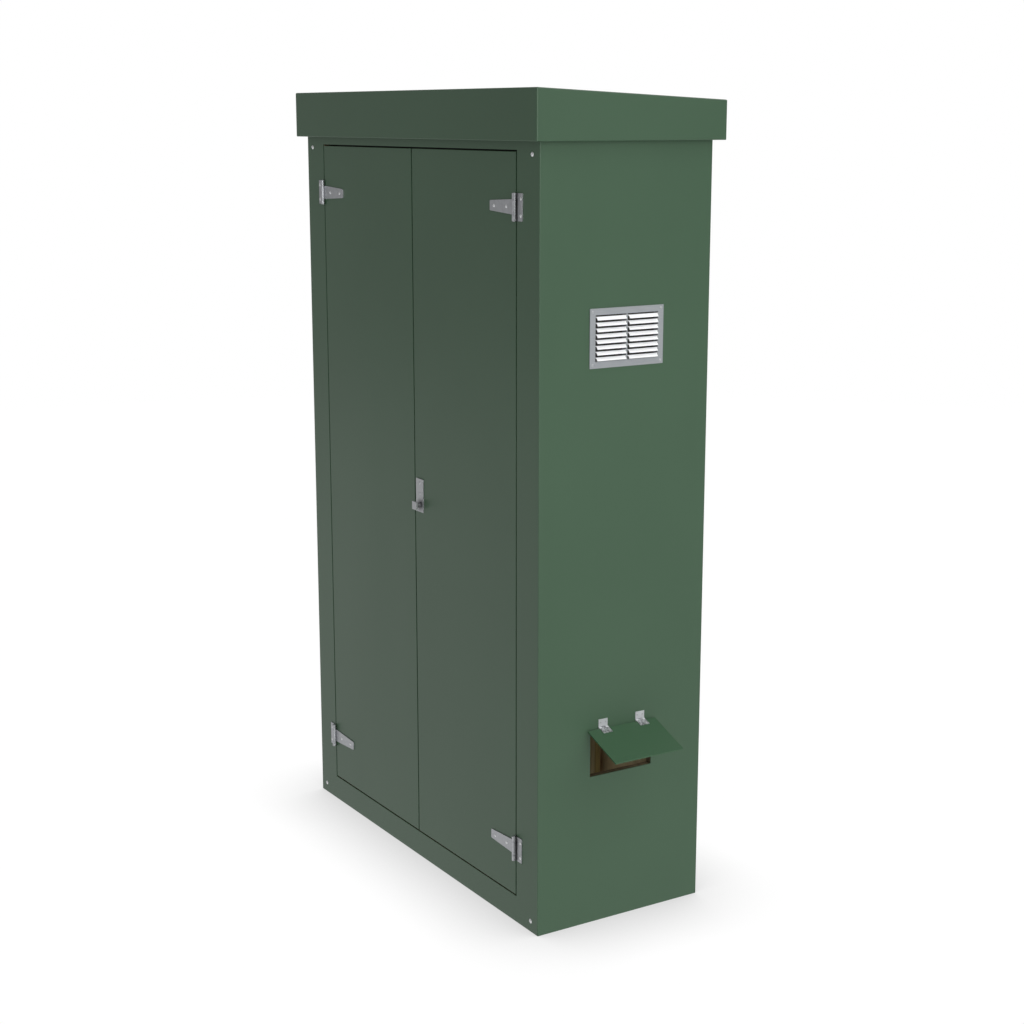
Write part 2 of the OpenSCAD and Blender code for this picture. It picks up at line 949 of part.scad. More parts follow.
module lock_plate() {
    color(pale_metal) difference() {
        box([lock_x - lock_w / 2, -half_d - lock_t, lock_z - lock_h / 2],
            [lock_x + lock_w / 2, -half_d, lock_z + lock_h / 2]);
        at_lock_screws() pilot(hinge_screw);
        at_knob() facing_front() cylinder(r = spindle_r + run_gap, h = 3 * lock_t, center = true);
    }
}

module lock_screws() {
    color(pale_metal) at_lock_screws() screw(hinge_screw);
}

module spindle_bush() {
    color("#b08a4a") at_knob() facing_back() difference() {
        union() {
            cylinder(r = bush_r, h = wall_t);
            translate([0, 0, wall_t]) cylinder(r = bush_flange_r, h = bush_flange_t);
        }
        translate([0, 0, -overshoot]) cylinder(r = spindle_r + run_gap, h = wall_t + 3 * overshoot);
    }
}

module turn_knob() {
    shoulder = cam_front + half_d;      // spindle's full-size length behind the door's face
    head_back = knob_stand - knob_t;
    neck_start = lock_t + neck_gap;
    color(pale_metal) at_knob() {
        translate([-knob_size / 2, -knob_stand, -knob_size / 2])
            cube([knob_size, knob_t, knob_size]);
        facing_front() {
            translate([0, 0, neck_start]) cylinder(r = neck_r, h = head_back - neck_start);
            translate([0, 0, -shoulder]) cylinder(r = spindle_r, h = shoulder + head_back);
        }
        facing_back() cylinder(r = cam_seat_r, h = shoulder + cam_t + nut_t + thread_end);
    }
}

module latch_cam() {
    color(zinc) translate([lock_x, cam_front, knob_z]) rotate([-90, 0, 0]) difference() {
        union() {
            cylinder(r = cam_w / 2, h = cam_t);
            translate([-cam_w / 2, 0, 0]) cube([cam_w, cam_len - cam_w / 2, cam_t]);
            translate([0, cam_len - cam_w / 2, 0]) cylinder(r = cam_w / 2, h = cam_t);
        }
        translate([0, 0, -overshoot]) cylinder(r = cam_seat_r, h = cam_t + 2 * overshoot);
    }
}

module cam_nut() {
    color(zinc) translate([lock_x, cam_front + cam_t, knob_z]) facing_back() difference() {
        cylinder(r = nut_r, h = nut_t, $fn = 6);
        translate([0, 0, -overshoot]) cylinder(r = cam_seat_r, h = nut_t + 2 * overshoot);
    }
}

// ---- shoot bolts ----

module shoot_bolt(m) {
    grip_z = -guide_inset - guide_plate_h / 2 - bolt_travel / 2;
    bolt_end(m) translate([-bolt_x, bolt_y, 0]) {
        translate([0, 0, -bolt_len]) cylinder(r = bolt_r, h = bolt_len);
        translate([0, 0, grip_z]) facing_back() {
            cylinder(r = handle_r, h = bolt_r + handle_len);
            translate([0, 0, bolt_r + handle_len]) sphere(handle_ball_r);
        }
    }
}

module top_bolt() {
    color(zinc) shoot_bolt(0);
}

module bottom_bolt() {
    color(zinc) shoot_bolt(1);
}

// ---- cable flap and its two hinges ----

module cable_flap() {
    color(green) difference() {
        at_flap_pin() box([flap_in, -flap_w / 2, -flap_len], [flap_out, flap_w / 2, -flap_top]);
        at_flap_screws() pilot(flap_rivet);
    }
}

// The flap's leaf: one middle knuckle, and a plate on the flap's outer face
module flap_leaf() {
    half_tab = small_tab_w / 2;
    half_leaf = small_hinge_w / 2;
    outer = flap_out + small_leaf_t;
    plate_top = -small_knuckle_r - part_gap;
    difference() {
        union() {
            rotate([90, 0, 0]) cylinder(r = small_knuckle_r, h = small_tab_w, center = true);
            box([flap_out, -half_tab, plate_top], [outer, half_tab, 0]);
            box([flap_out, -half_leaf, -small_leaf_len], [outer, half_leaf, plate_top]);
        }
        rotate([90, 0, 0]) cylinder(r = small_pin_r + run_gap, h = small_hinge_w, center = true);
    }
}

module flap_leaves() {
    color(pale_metal) difference() {
        at_flap_pin() at_small_hinges() flap_leaf();
        at_flap_screws() pilot(flap_rivet);
    }
}

module flap_screws() {
    color(pale_metal) at_flap_screws() screw(flap_rivet);
}

// The wall's leaf: two outer knuckles, and a plate on the wall above them
module wall_leaf() {
    inner = half_w - flap_pin_x;
    outer = inner + small_leaf_t;
    half_leaf = small_hinge_w / 2;
    plate_low = small_knuckle_r + part_gap;
    end_w = (small_hinge_w - small_tab_w) / 2 - part_gap;
    box([inner, -half_leaf, plate_low], [outer, half_leaf, small_leaf_len]);
    for (s = [-1, 1]) translate([0, s * (small_hinge_w - end_w) / 2, 0]) difference() {
        union() {
            rotate([90, 0, 0]) cylinder(r = small_knuckle_r, h = end_w, center = true);
            box([inner, -end_w / 2, 0], [outer, end_w / 2, plate_low]);
        }
        rotate([90, 0, 0]) cylinder(r = small_pin_r, h = small_hinge_w, center = true);
    }
}

module flap_wall_leaves() {
    color(pale_metal) difference() {
        at_flap_pin(0) at_small_hinges() wall_leaf();
        at_flap_wall_screws() pilot(small_screw);
    }
}

module flap_hinge_pins() {
    color(pale_metal) at_flap_pin(0) at_small_hinges() rotate([90, 0, 0])
        cylinder(r = small_pin_r, h = small_hinge_w, center = true);
}

module flap_wall_screws() {
    color(pale_metal) at_flap_wall_screws() screw(small_screw);
}

base_frame();
left_side_skin();
right_side_skin();
back_skin();
front_frame_skin();
left_side_board();
right_side_board();
back_wall_board();
front_frame_board();
left_front_post();
right_front_post();
door_head();
door_sill();
left_rear_post();
right_rear_post();
side_top_rails();
rear_top_rail();
roof_board();
roof_cap();
equipment_board();
board_battens();
board_screws();
door_seal();
front_corner_screws();
back_corner_screws();
bolt_keeps();
vent_frame();
vent_blades();
insect_mesh();
vent_screws();
hinge_jamb_plates();
hinge_pins();
jamb_screws();
flap_wall_leaves();
flap_hinge_pins();
flap_wall_screws();
left_door_skin();
left_door_board();
left_door_straps();
left_strap_screws();
meeting_seal();
bolt_guides();
guide_screws();
latch_keep();
right_door_skin();
right_door_board();
right_door_straps();
right_strap_screws();
lock_plate();
lock_screws();
spindle_bush();
turn_knob();
latch_cam();
cam_nut();
top_bolt();
bottom_bolt();
cable_flap();
flap_leaves();
flap_screws();
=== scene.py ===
"""Looks of the roadside utility cabinet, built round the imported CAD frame.

Everything is in metres, in the frame's own axes: +Z is up, +X runs to the right along the doors,
and the doors face -Y. Pieces are made as whole arrays of points, or as eased copies of CAD nodes.
"""

import json
import math

import bmesh
import bpy
import numpy as np
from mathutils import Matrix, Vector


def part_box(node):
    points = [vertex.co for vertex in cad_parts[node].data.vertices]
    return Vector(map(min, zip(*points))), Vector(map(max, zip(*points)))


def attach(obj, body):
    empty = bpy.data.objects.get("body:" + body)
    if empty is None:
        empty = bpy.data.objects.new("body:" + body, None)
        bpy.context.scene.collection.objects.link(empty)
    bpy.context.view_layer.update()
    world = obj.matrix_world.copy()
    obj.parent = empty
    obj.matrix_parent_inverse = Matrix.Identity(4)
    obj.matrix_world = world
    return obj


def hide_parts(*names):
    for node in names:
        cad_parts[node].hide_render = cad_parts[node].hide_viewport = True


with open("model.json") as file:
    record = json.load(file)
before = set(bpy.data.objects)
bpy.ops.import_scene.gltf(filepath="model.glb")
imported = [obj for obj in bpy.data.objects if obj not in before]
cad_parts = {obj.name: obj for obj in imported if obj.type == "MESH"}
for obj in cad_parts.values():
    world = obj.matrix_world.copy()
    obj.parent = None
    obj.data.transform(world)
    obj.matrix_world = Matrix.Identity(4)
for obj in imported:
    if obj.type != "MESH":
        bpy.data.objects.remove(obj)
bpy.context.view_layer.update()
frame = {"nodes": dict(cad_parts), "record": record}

MM = 0.001
X, Y, Z = 0, 1, 2
SHARP = math.radians(30)    # folds over this are real edges
FLAT = math.radians(0.4)    # folds under this belong to one flat face
CAP_FOLD = math.radians(35)     # folds over this stay sharp on the roof cap
SEAL_FOLD = math.radians(50)    # and on the door seal
TINY = 1e-6                 # closer than this is the same place
PLIES = 7                   # layers in a plywood board

# ---------------------------------------------------------------- places taken from the frame


def corners(node):
    """The lowest and highest corner of a CAD node, as arrays."""
    low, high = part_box(node)
    return np.array(low), np.array(high)


WALL_LOW, WALL_HIGH = corners("front_frame_skin")
HALF_W = WALL_HIGH[X]
FRONT = WALL_LOW[Y]
BOARD_T = corners("front_frame_board")[1][Y] - WALL_HIGH[Y]
OPENING_LOW, OPENING_HIGH = corners("door_seal")
VENT_LOW, VENT_HIGH = corners("vent_frame")
FLAP_PIN = sum(corners("flap_hinge_pins")) / 2
CAP_LOW, CAP_HIGH = corners("roof_cap")
BACK_LOW, BACK_HIGH = corners("back_skin")

VENT_BORDER = 17 * MM       # flat border round the vent's opening
VENT_HOLE_IN = 14.5 * MM    # edge of the wall's hole in from the vent's outline
HATCH_SIZE = (200 * MM, 125 * MM)
HATCH_DROP = 8 * MM         # top of the hatch below the flap's pin
SKIN_LIFT = 2 * MM          # a skin that starts lower than this is drawn down to the ground
ROOF_REACH = 20 * MM        # a panel that ends this far over the opening reaches the roof


def roof_underside(y):
    """Height of the wall tops: a straight slope from the front wall's face to the back wall's."""
    share = (y - FRONT) / (BACK_LOW[Y] - FRONT)
    return WALL_HIGH[Z] + share * (BACK_HIGH[Z] - WALL_HIGH[Z])


# ---------------------------------------------------------------- shader building


class Signal:
    """A shader socket that can stand in sums: each operator adds one Math node."""

    def __init__(self, graph, socket):
        self.graph = graph
        self.socket = socket

    def math(self, operation, *others):
        return self.graph.add("ShaderNodeMath", {"operation": operation}, dict(enumerate((self,) + others)))

    def __add__(self, other):
        return self.math("ADD", other)

    def __mul__(self, other):
        return self.math("MULTIPLY", other)

    def __sub__(self, other):
        return self.math("SUBTRACT", other)

    def __rsub__(self, other):
        return self.graph.add("ShaderNodeMath", {"operation": "SUBTRACT"}, {0: other, 1: self})

    __radd__ = __add__
    __rmul__ = __mul__

    def floor(self):
        return self.math("FLOOR")

    def odd(self):
        """1 on odd whole numbers and 0 on even ones."""
        return self.math("MODULO", 2.0).math("ABSOLUTE")

    def sine(self):
        return self.math("SINE")

    def between(self, low, high):
        """0 below low, 1 above high and a smooth rise between them."""
        settings = {"interpolation_type": "SMOOTHSTEP"}
        return self.graph.add("ShaderNodeMapRange", settings, {"Value": self, 1: low, 2: high})


class Graph:
    """The nodes of a material or of the world."""

    def __init__(self, tree):
        self.nodes = tree.nodes
        self.links = tree.links

    def add(self, kind, settings, sockets, output=0):
        """Adds a node: its settings first, then a value or a link for each named socket."""
        node = self.nodes.new(kind)
        for key, value in settings.items():
            if key == "stops":
                for stop, (position, colour) in zip(self.ramp_stops(node, len(value)), value):
                    stop.position = position
                    stop.color = (*colour, 1)
            else:
                setattr(node, key, value)
        for key, value in sockets.items():
            if isinstance(value, Signal):
                self.links.new(value.socket, node.inputs[key])
            else:
                node.inputs[key].default_value = value
        return Signal(self, node.outputs[output]) if node.outputs else None

    @staticmethod
    def ramp_stops(node, count):
        stops = node.color_ramp.elements
        while len(stops) < count:
            stops.new(1)
        return stops


class Finish(Graph):
    """One material, and short words for the nodes that are used again and again."""

    def __init__(self, name, **constants):
        self.material = bpy.data.materials.new(name)
        self.material.use_nodes = True
        super().__init__(self.material.node_tree)
        self.shader = self.nodes["Principled BSDF"]
        for socket, value in constants.items():
            self.shader.inputs[socket.replace("_", " ")].default_value = value
        self.place = self.add("ShaderNodeTexCoord", {}, {}, "Object")

    def axis(self, which):
        """The object's own coordinate along one axis, in metres."""
        return self.add("ShaderNodeSeparateXYZ", {}, {0: self.place}, which)

    def stretched(self, x, y, z):
        """The object's coordinates scaled along each axis, so that a pattern runs out along one."""
        return self.add("ShaderNodeMapping", {}, {"Vector": self.place, "Scale": (x, y, z)})

    def noise(self, scale, detail=2.0, roughness=0.5, at=None, distortion=0.0):
        sockets = {"Vector": at or self.place, "Scale": scale, "Detail": detail,
                   "Roughness": roughness, "Distortion": distortion}
        return self.add("ShaderNodeTexNoise", {}, sockets, 0)

    def cells(self, scale):
        return self.add("ShaderNodeTexVoronoi", {}, {"Vector": self.place, "Scale": scale}, "Color")

    def ramp(self, factor, *stops):
        return self.add("ShaderNodeValToRGB", {"stops": stops}, {0: factor})

    def mix(self, factor, first, second):
        """A colour between two others; each is a link or a plain colour."""
        first, second = [c if isinstance(c, Signal) else (*c, 1) for c in (first, second)]
        return self.add("ShaderNodeMix", {"data_type": "RGBA"}, {0: factor, 6: first, 7: second}, 2)

    def shade(self, colour, brightness):
        """A colour made darker or lighter by a number that varies round 1."""
        return self.add("ShaderNodeVectorMath", {"operation": "SCALE"}, {0: colour, 3: brightness})

    def bump(self, height, distance, strength=1.0, under=None):
        sockets = {"Height": height, "Distance": distance, "Strength": strength}
        if under:
            sockets["Normal"] = under
        return self.add("ShaderNodeBump", {}, sockets)

    def paint(self, **sockets):
        """Links signals to the shader's sockets and hands back the material."""
        for socket, signal in sockets.items():
            self.links.new(signal.socket, self.shader.inputs[socket.replace("_", " ")])
        return self.material


# ---------------------------------------------------------------- finishes


def gelcoat(name="green_gelcoat", gloss_level=0.5, painted_light_gain=1.0):
    """Dark green gel coat on glass fibre: faint cloudiness, orange peel and a soft satin gloss."""
    f = Finish(name, IOR=1.5, Specular_IOR_Level=gloss_level)
    clouds = f.noise(1.7, 3.0)
    runs = f.noise(3.0, 2.0, at=f.stretched(2.2, 2.2, 0.25))
    speck = f.noise(420.0, 1.0)
    # painted_light_gain brightens a copy of the gel coat: painted light where it is over 1
    tone = (0.94 + clouds * 0.07 + runs * 0.03 + speck * 0.03) * painted_light_gain
    colour = f.mix(clouds.between(0.3, 0.7), (0.0406, 0.0900, 0.0480), (0.0430, 0.0940, 0.0505))
    peel = f.bump(f.noise(230.0, 2.0, 0.45), 0.05 * MM, 0.2)
    waves = f.bump(f.noise(5.0, 1.0), 1.2 * MM, 0.35, under=peel)
    gloss = 0.34 + f.noise(60.0, 3.0) * 0.03 + runs * 0.05
    return f.paint(Base_Color=f.shade(colour, tone), Roughness=gloss, Normal=waves)


def plywood(name, thick_axis, start, pale, dark, grain_axis=Z, lit_edge_from=None):
    """Seven-ply board: long face grain, and alternate plies of end grain on the cut edges.

    Edges beyond the distance lit_edge_from from the cabinet's middle plane are twice as bright, where it is
    given: painted light that evens the darker cut edge out with the board's face.
    """
    f = Finish(name, IOR=1.45)
    ply = ((f.axis(thick_axis) - start) * (PLIES / BOARD_T)).floor().odd()
    squeeze = [26.0, 26.0, 26.0]
    squeeze[grain_axis] = 1.1
    lines = f.noise(9.0, 6.0, 0.62, at=f.stretched(*squeeze), distortion=0.4)
    figure = f.noise(1.9, 3.0, 0.5, at=f.stretched(*[s / 6 for s in squeeze]), distortion=1.2)
    rings = (figure * 62.0).sine() * 0.5 + 0.5
    middle = [(a + b) / 2 for a, b in zip(pale, dark)]
    wood = f.ramp(lines * 0.72 + rings * 0.28, (0.25, dark), (0.52, middle), (0.8, pale))
    end_grain = f.shade(wood, 0.55 + f.noise(700.0, 2.0) * 0.25)
    colour = f.mix(ply, wood, end_grain)
    if lit_edge_from:
        # painted light: the cut edge is brightened
        edge = f.axis(X).math("ABSOLUTE").between(lit_edge_from - 0.5 * MM, lit_edge_from)
        colour = f.shade(colour, edge + 1)
    rough = 0.62 + lines * 0.2
    relief = f.bump(lines * 0.7 + ply * 0.3, 0.25 * MM, 0.5)
    return f.paint(Base_Color=colour, Roughness=rough, Normal=relief)


def timber(name, grain_axis):
    """Planed softwood: growth rings round a heart outside the piece, drawn out along the grain."""
    f = Finish(name, IOR=1.45)
    squeeze = [1.0, 1.0, 1.0]
    squeeze[grain_axis] = 0.045
    at = f.stretched(*squeeze)
    heart = f.noise(14.0, 2.0, 0.4, at=at, distortion=0.6)
    rings = (heart * 46.0).sine() * 0.5 + 0.5
    fibres = f.noise(420.0, 3.0, 0.6, at=at)
    wood = f.ramp(rings * 0.6 + fibres * 0.4, (0.2, (0.30, 0.20, 0.10)), (0.55, (0.42, 0.30, 0.16)),
                  (0.85, (0.52, 0.39, 0.22)))
    relief = f.bump(rings * 0.5 + fibres * 0.5, 0.2 * MM, 0.5)
    return f.paint(Base_Color=wood, Roughness=0.6 + fibres * 0.2, Normal=relief)


def zinc(name="bright_zinc", shade_and_shine=None):
    """Zinc-plated steel: small soft-edged crystals with their own grey and gloss.

    Where shade_and_shine gives them, painted shade lies between two distances from the cabinet's middle
    plane and behind a depth, in the crease beside each hinge barrel, and the outer side of each barrel's
    front has a painted highlight.
    """
    f = Finish(name, Metallic=0.92)
    crystal = f.add("ShaderNodeSeparateColor", {}, {0: f.cells(130.0)}, 0)
    haze = f.noise(38.0, 4.0, 0.6)
    scratch = f.noise(900.0, 2.0, at=f.stretched(0.06, 1.0, 1.0))
    grey = f.mix(crystal * 0.5 + haze * 0.5, (0.40, 0.41, 0.43), (0.52, 0.53, 0.55))
    if shade_and_shine:
        near, far, depth = shade_and_shine
        barrel_back = FRONT - 5 * MM
        out = f.axis(X).math("ABSOLUTE")
        # painted shade: a dark band in the crease beside each hinge barrel
        crease_shade = out.between(near - MM, near) * (1 - out.between(far, far + MM))
        crease_shade = crease_shade * f.axis(Y).between(depth - MM, depth + MM)
        # painted highlight: the outer side of each barrel's front is made brighter
        barrel = 1 - f.axis(Y).between(barrel_back - MM, barrel_back)
        barrel_highlight = barrel * out.between(near - MM, near)
        grey = f.shade(grey, barrel_highlight * 0.25 + 1)
        grey = f.mix(crease_shade * (0.5 + haze * 0.3), grey, (0.024, 0.026, 0.024))
    rough = 0.34 + crystal * 0.10 + haze * 0.14
    relief = f.bump(scratch * 0.5 + haze * 0.5, 0.03 * MM, 0.4)
    return f.paint(Base_Color=grey, Roughness=rough, Normal=relief)


def stainless(name="brushed_stainless", gain=1.0, dirt_and_shade=None):
    """Stainless steel brushed across Z, with long hair lines.

    It is paler by gain, and dirt_and_shade is a function that gives where it darkens: real dirt spots, or
    painted shade at the lock's knob.
    """
    f = Finish(name, Metallic=1.0)
    hair = f.noise(1400.0, 3.0, 0.7, at=f.stretched(0.03, 0.03, 1.0))
    smear = f.noise(24.0, 3.0)
    steel = f.mix(hair * 0.6 + smear * 0.4, (0.42, 0.43, 0.445), (0.56, 0.57, 0.585))
    steel = f.shade(steel, gain)
    if dirt_and_shade:
        # darkening towards near black: real dirt spots, or painted shade at the knob
        steel = f.mix(dirt_and_shade(f), steel, (0.030, 0.032, 0.036))
    relief = f.bump(hair, 0.02 * MM, 0.5)
    return f.paint(Base_Color=steel, Roughness=0.40 + smear * 0.14 + hair * 0.08, Normal=relief)


def shade_round_the_knob(f):
    """Painted shade on the lock plate round the knob's neck, which fades out away from the knob's axis."""
    centre = (corners("turn_knob")[0] + corners("turn_knob")[1]) / 2
    aside, above = [f.axis(k) - float(centre[k]) for k in (X, Z)]
    away = (aside * aside + above * above).math("SQRT")
    # painted shade: full within the first distance, gone beyond the second
    shaded, unshaded = 6 * MM, 24 * MM
    return (1 - away.between(shaded, unshaded)) * 0.62


def shade_behind_the_head(f):
    """Painted shade on the knob's neck, behind its square head."""
    head_thickness = 6 * MM
    head_back = float(corners("turn_knob")[0][Y]) + head_thickness
    return f.axis(Y).between(head_back, head_back + MM) * 0.5


def blotches(f):
    """Dirt in spots a few millimetres across."""
    return f.noise(150.0, 2.0).between(0.40, 0.62) * 0.55


def bright_screw():
    """Nickel-plated screw heads, turned bright."""
    f = Finish("bright_screws", Metallic=1.0)
    wear = f.noise(300.0, 3.0)
    plating = f.mix(wear, (0.72, 0.73, 0.74), (0.90, 0.91, 0.92))
    return f.paint(Base_Color=plating, Roughness=0.22 + wear * 0.16, Normal=f.bump(wear, 0.02 * MM, 0.4))


def vent_aluminium():
    """Satin anodised aluminium pressing with a faint mill grain."""
    f = Finish("satin_aluminium", Metallic=0.35)
    grain = f.noise(700.0, 3.0, 0.6, at=f.stretched(1.0, 0.05, 1.0))
    smear = f.noise(30.0, 3.0)
    metal = f.mix(grain * 0.7 + smear * 0.3, (0.27, 0.288, 0.305), (0.37, 0.388, 0.405))
    relief = f.bump(grain, 0.02 * MM, 0.4)
    return f.paint(Base_Color=metal, Roughness=0.48 + smear * 0.08, Normal=relief)


def white_paint(shade_line):
    """White powder coat with a fine texture, near black on the inner side of a plane across X: painted
    shade on the blades' inner edges.
    """
    f = Finish("white_powder_coat", IOR=1.5)
    grit = f.noise(900.0, 2.0)
    film = f.noise(25.0, 3.0)
    white = f.mix(film, (0.90, 0.91, 0.92), (0.96, 0.965, 0.97))
    soft = 0.4 * MM
    unshaded = f.axis(X).between(shade_line - soft, shade_line + soft)
    # painted shade: the blades turn near black behind the shade line
    white = f.mix(unshaded, (0.020, 0.021, 0.023), white)
    return f.paint(Base_Color=white, Roughness=0.42 + film * 0.12, Normal=f.bump(grit, 0.03 * MM, 0.4))


def mesh_wire():
    """Black-coated wire with dust on it."""
    f = Finish("black_coated_wire", IOR=1.5)
    tarnish = f.noise(160.0, 3.0)
    grey = f.mix(tarnish, (0.010, 0.012, 0.015), (0.028, 0.032, 0.038))
    return f.paint(Base_Color=grey, Roughness=0.5 + tarnish * 0.2)


def rubber():
    """Black rubber with a dusty bloom."""
    f = Finish("black_rubber", IOR=1.5)
    bloom = f.noise(45.0, 4.0, 0.6)
    grit = f.noise(1500.0, 2.0)
    black = f.mix(bloom, (0.011, 0.011, 0.011), (0.026, 0.026, 0.025))
    return f.paint(Base_Color=black, Roughness=0.62 + bloom * 0.2, Normal=f.bump(grit, 0.05 * MM, 0.5))


def brass():
    """Turned brass, a little tarnished."""
    f = Finish("turned_brass", Metallic=1.0)
    tarnish = f.noise(55.0, 4.0)
    lines = f.noise(1600.0, 2.0, at=f.stretched(0.02, 1.0, 0.02))
    gold = f.mix(tarnish, (0.50, 0.34, 0.13), (0.72, 0.52, 0.23))
    return f.paint(Base_Color=gold, Roughness=0.25 + tarnish * 0.2, Normal=f.bump(lines, 0.02 * MM, 0.4))


CONTACT_REACH = 0.27        # how far the painted contact shadow spreads from what stands on the floor
FLOOR_GLOW = 1.006          # the bare floor as it is seen
FLOOR_SHADE = 0.41          # the floor's painted shadow where something touches it
FLOOR_LIGHT = 0.715         # the floor as it lights the cabinet
UNDER_SHADE = 0.72          # the share of its brightness lost inside the open base, as painted shade


def glowing_floor():
    """Pale studio floor that glows evenly, with a painted soft shadow where something stands on it.

    Its glow is dimmed as painted shade inside the cabinet's open base too. What stands on the floor
    is lit by a dimmer floor than the one that is seen.
    """
    f = Finish("studio_floor", Base_Color=(0, 0, 0, 1), Emission_Strength=FLOOR_GLOW,
               Specular_IOR_Level=0.0)
    # ambient occlusion dims the glow: a painted contact shadow
    open_sky = f.add("ShaderNodeAmbientOcclusion", {"samples": 16}, {"Distance": CONTACT_REACH}, "AO")
    speckle = f.noise(180.0, 3.0) * 0.006
    seen = f.mix(open_sky - speckle, (FLOOR_SHADE,) * 3, (1, 1, 1))
    # painted shade inside the cabinet's open base
    soft = 20 * MM
    outside = [f.axis(k).math("ABSOLUTE").between(high - soft, high)
               for k, high in ((X, HALF_W), (Y, BACK_HIGH[Y]))]
    under = (1 - outside[0]) * (1 - outside[1])
    seen = f.shade(seen, 1 - under * UNDER_SHADE)
    ray = f.add("ShaderNodeLightPath", {}, {}, "Is Camera Ray")
    return f.paint(Emission_Color=f.mix(ray, (FLOOR_LIGHT,) * 3, seen))


# a board's pale and dark tones
PALE_PLY = ((0.55, 0.45, 0.26), (0.40, 0.315, 0.17))
OLIVE_PLY = ((0.284, 0.235, 0.095), (0.15, 0.117, 0.044))
# a dark board tone that is painted shade in the door gaps and the hatch's reveals
GAP_SHADE_PLY = ((0.21, 0.155, 0.085), (0.11, 0.08, 0.042))

CREASE_SHADE_WIDTH = 8.5 * MM      # the strip of painted shade in the crease along a hinge's barrel
CREASE_SHADE_DEPTH = 10.8 * MM     # how far out from the front skin it reaches
BLADE_SHADE_DEPTH = 1.3 * MM       # painted shade along the louvre blades' inner edges

GREEN = gelcoat()
# the cable flap's gel coat, less glossy and 1.25 times lighter: painted light on its upward face
LOW_GLOSS_LIT_GREEN = gelcoat("low_gloss_lit_gelcoat", 0.12, 1.25)
ZINC = zinc()
CREASE_SHADED_ZINC = zinc("crease_shaded_zinc", (OPENING_HIGH[X], OPENING_HIGH[X] + CREASE_SHADE_WIDTH, FRONT - CREASE_SHADE_DEPTH))
STEEL = stainless()
LOCK_STEEL = stainless("knob_shaded_lock_steel", dirt_and_shade=shade_round_the_knob)
KNOB_STEEL = stainless("neck_shaded_knob_steel", dirt_and_shade=shade_behind_the_head)
PALE_STEEL = stainless("pale_steel", 1.25)
SPOTTED_STEEL = stainless("spotted_steel", 1.1, blotches)
SCREW = bright_screw()
ALUMINIUM = vent_aluminium()
WHITE = white_paint(corners("vent_blades")[0][X] + BLADE_SHADE_DEPTH)
WIRE = mesh_wire()
RUBBER = rubber()
BRASS = brass()
TIMBER = {axis: timber("planed_timber_" + "xyz"[axis], axis) for axis in (X, Y, Z)}


# ---------------------------------------------------------------- pieces


def new_piece(name, points, faces, material, slot, nodes, body="cabinet"):
    """A piece from an array of points and lists of faces, riding on a body in place of CAD nodes."""
    mesh = bpy.data.meshes.new(name)
    mesh.from_pydata(np.asarray(points).tolist(), [], faces)
    mesh.validate()
    mesh.shade_smooth()
    return dress(bpy.data.objects.new(name, mesh), material, slot, nodes, body)


def dress(piece, material, slot, nodes, body):
    """Links a piece into the scene with its material, its body and the nodes it stands for."""
    bpy.context.scene.collection.objects.link(piece)
    piece.data.materials.clear()
    piece.data.materials.append(material)
    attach(piece, body)
    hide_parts(*nodes)
    return piece


def ease(piece, radius, segments=2, limit="ANGLE"):
    """Rounds a piece's edges: those over 30 degrees, or those with a bevel weight."""
    bevel = piece.modifiers.new("eased_edges", "BEVEL")
    bevel.width = radius
    bevel.segments = segments
    bevel.limit_method = limit
    bevel.angle_limit = SHARP
    bevel.harden_normals = True
    return piece


def keep_flats(piece):
    """Shades each flat face flat, up to its rounded edges."""
    flats = piece.modifiers.new("flats_stay_flat", "WEIGHTED_NORMAL")
    flats.keep_sharp = True
    return piece


def node_slot(node):
    """The record's material slot of a CAD node."""
    for part in frame["record"]["subparts"]:
        if part["node"] == node:
            return part["material_slot"]
    raise ValueError(node)


def body_of(node):
    """The body that a CAD node rides on."""
    return next(name for name, nodes in frame["record"]["behaviour"]["bodies"].items() if node in nodes)


def eased_node(node, material, radius, segments=2):
    """A copy of a CAD node with its points merged, flat faces joined and edges rounded."""
    mesh = frame["nodes"][node].data.copy()
    build = bmesh.new()
    build.from_mesh(mesh)
    bmesh.ops.remove_doubles(build, verts=build.verts, dist=TINY)
    bmesh.ops.dissolve_limit(build, angle_limit=FLAT, verts=build.verts, edges=build.edges)
    build.to_mesh(mesh)
    build.free()
    mesh.shade_smooth()
    piece = bpy.data.objects.new(node + "_eased", mesh)
    dress(piece, material, node_slot(node), [node], body_of(node))
    ease(piece, radius, segments)
    return keep_flats(piece)


def slab_faces(kept, number):
    """Quads of a slab of cells: both sides of each kept cell, and a wall where its neighbour is missing.

    number holds each point's number, by its two cuts and its side, 0 or 1.
    """
    i, j = np.nonzero(kept)
    ring = [number[i, j], number[i + 1, j], number[i + 1, j + 1], number[i, j + 1]]
    quads = [np.stack([r[:, 1] for r in ring], 1), np.stack([r[:, 0] for r in ring[::-1]], 1)]
    padded = np.pad(kept, 1).astype(int)
    step = padded[1:, 1:-1] - padded[:-1, 1:-1]
    for sign in (1, -1):
        i, j = np.nonzero(step == sign)
        wall = [number[i, j, 0], number[i, j, 1], number[i, j + 1, 1], number[i, j + 1, 0]]
        quads.append(np.stack(wall[::sign], 1))
    step = padded[1:-1, 1:] - padded[1:-1, :-1]
    for sign in (1, -1):
        i, j = np.nonzero(step == sign)
        wall = [number[i, j, 0], number[i + 1, j, 0], number[i + 1, j, 1], number[i, j, 1]]
        quads.append(np.stack(wall[::sign], 1))
    return np.concatenate(quads)


